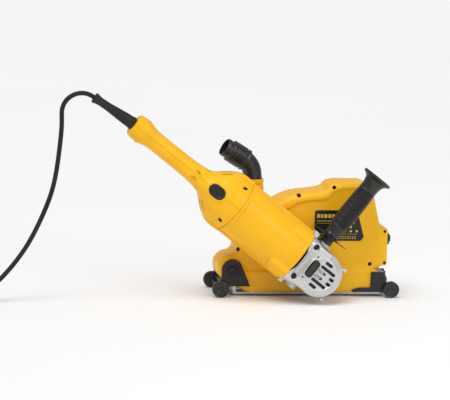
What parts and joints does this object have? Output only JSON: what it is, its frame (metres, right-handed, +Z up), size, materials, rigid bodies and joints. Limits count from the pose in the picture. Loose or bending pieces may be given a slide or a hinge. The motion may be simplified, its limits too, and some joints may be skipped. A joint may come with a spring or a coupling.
{
  "type": "wall chaser",
  "caption": "Two-hand angle grinder clamped to a plunging dust shroud on a roller base, with side handle, dust elbow and mains cord.",
  "frame": {"origin": "on the floor under the middle of the machine, measured without its cord", "axes": "+X forward towards the front rollers, -Y towards the grinder's gear end, +Z up"},
  "size_m": [0.8963, 0.2004, 0.3733],
  "materials": {
    "yellow_plastic": "satin moulded plastic, warm yellow",
    "frame_paint": "satin charcoal powder coat",
    "gearcase_alloy": "fine cast and satin painted silver",
    "steel": "machined steel",
    "black_plastic": "black moulded plastic",
    "grip_rubber": "black rubber",
    "cord_rubber": "matt black cable sheath",
    "copper": "copper winding",
    "brass": "turned brass",
    "label_black": "black plate with plain marks"
  },
  "bodies": {
    "base": {"sole_plate": "frame_paint", "rear_bracket_near": "frame_paint", "rear_bracket_far": "frame_paint", "front_bracket_near": "frame_paint", "front_bracket_far": "frame_paint", "rear_axle": "steel", "front_axle": "steel", "pivot_bolt": "steel", "depth_guide": "steel", "cord_coil": "cord_rubber", "cord_plug": "black_plastic"},
    "head": {"shroud_shell_near": "yellow_plastic", "shroud_shell_far": "yellow_plastic", "label_plate": "label_black", "dust_collar": "yellow_plastic", "clamp_collar": "steel", "pivot_bush": "brass", "return_spring": "steel", "depth_pointer": "frame_paint", "gearcase": "gearcase_alloy", "bearing_cover": "gearcase_alloy", "spindle_bearing_lower": "steel", "spindle_bearing_upper": "steel", "motor_housing": "yellow_plastic", "fan_baffle": "black_plastic", "field_core": "steel", "field_coil_front": "copper", "field_coil_rear": "copper", "armature_bearing_front": "steel", "armature_bearing_rear": "steel", "brush_holder_upper": "brass", "brush_holder_lower": "brass", "handle_shell_upper": "yellow_plastic", "handle_shell_lower": "yellow_plastic", "switch_module": "black_plastic", "side_handle_grip": "grip_rubber", "side_handle_guard": "black_plastic", "side_handle_stud": "steel", "strain_relief": "grip_rubber", "cord_tube": "cord_rubber"},
    "elbow": {"dust_elbow": "black_plastic", "hose_adapter": "black_plastic"},
    "spindle": {"spindle": "steel", "crown_gear": "steel", "inner_flange": "steel", "spacer_ring": "steel", "clamp_nut": "steel"},
    "armature": {"armature_shaft": "steel", "motor_pinion": "steel", "armature_core": "copper", "commutator": "copper", "cooling_fan": "black_plastic"},
    "trigger": {"trigger": "black_plastic"},
    "switch_lock": {"switch_lock_button": "black_plastic"},
    "spindle_lock": {"spindle_lock_button": "black_plastic"},
    "depth_knob": {"depth_lock_knob": "black_plastic"},
    "rear_roller_near": {"rear_roller_near": "grip_rubber"},
    "rear_roller_far": {"rear_roller_far": "grip_rubber"},
    "front_roller_near": {"front_roller_near": "grip_rubber"},
    "front_roller_far": {"front_roller_far": "grip_rubber"}
  },
  "joints": [
    {"name": "plunge", "type": "hinge", "parent": "base", "child": "head", "pos_m": [-0.01876, 0.04425, 0.0485], "axis": [0, -1, 0], "range_deg": [0, 24]},
    {"name": "rear_roller_near_spin", "type": "hinge", "parent": "base", "child": "rear_roller_near", "pos_m": [-0.04126, -0.00625, 0.015], "axis": [0, 1, 0], "continuous": true},
    {"name": "rear_roller_far_spin", "type": "hinge", "parent": "base", "child": "rear_roller_far", "pos_m": [-0.04126, 0.09475, 0.015], "axis": [0, 1, 0], "continuous": true},
    {"name": "front_roller_near_spin", "type": "hinge", "parent": "base", "child": "front_roller_near", "pos_m": [0.27474, -0.00625, 0.015], "axis": [0, 1, 0], "continuous": true},
    {"name": "front_roller_far_spin", "type": "hinge", "parent": "base", "child": "front_roller_far", "pos_m": [0.27474, 0.09475, 0.015], "axis": [0, 1, 0], "continuous": true},
    {"name": "armature_spin", "type": "hinge", "parent": "head", "child": "armature", "pos_m": [0.02942, -0.04775, 0.13055], "axis": [-0.7902, 0, 0.6129], "continuous": true},
    {"name": "spindle_spin", "type": "hinge", "parent": "head", "child": "spindle", "pos_m": [0.12424, -0.04775, 0.057], "axis": [0, -1, 0], "continuous": true},
    {"name": "dust_swivel", "type": "hinge", "parent": "head", "child": "elbow", "pos_m": [0.01924, 0.04425, 0.204], "axis": [0, 0, 1], "continuous": true},
    {"name": "trigger_press", "type": "hinge", "parent": "head", "child": "trigger", "pos_m": [-0.14916, -0.03275, 0.26907], "axis": [-0.6129, 0, -0.7902], "range_deg": [0, 5], "stiffness_Nm_per_rad": 1.5, "springref_deg": -3.44},
    {"name": "switch_lock_press", "type": "slide", "parent": "head", "child": "switch_lock", "axis": [0.2934, 0.9285, -0.2276], "range_m": [0, 0.003], "stiffness_N_per_m": 300, "springref_m": -0.002},
    {"name": "spindle_lock_press", "type": "slide", "parent": "head", "child": "spindle_lock", "axis": [0, 1, 0], "range_m": [0, 0.004], "stiffness_N_per_m": 400, "springref_m": -0.002},
    {"name": "depth_lock_turn", "type": "hinge", "parent": "base", "child": "depth_knob", "pos_m": [0.26324, 0.04425, 0.0365], "axis": [1, 0, 0], "range_deg": [0, 180]}
  ],
  "couplings": [
    {"joint": "spindle_spin", "follows": "armature_spin", "ratio": 0.28205}
  ]
}
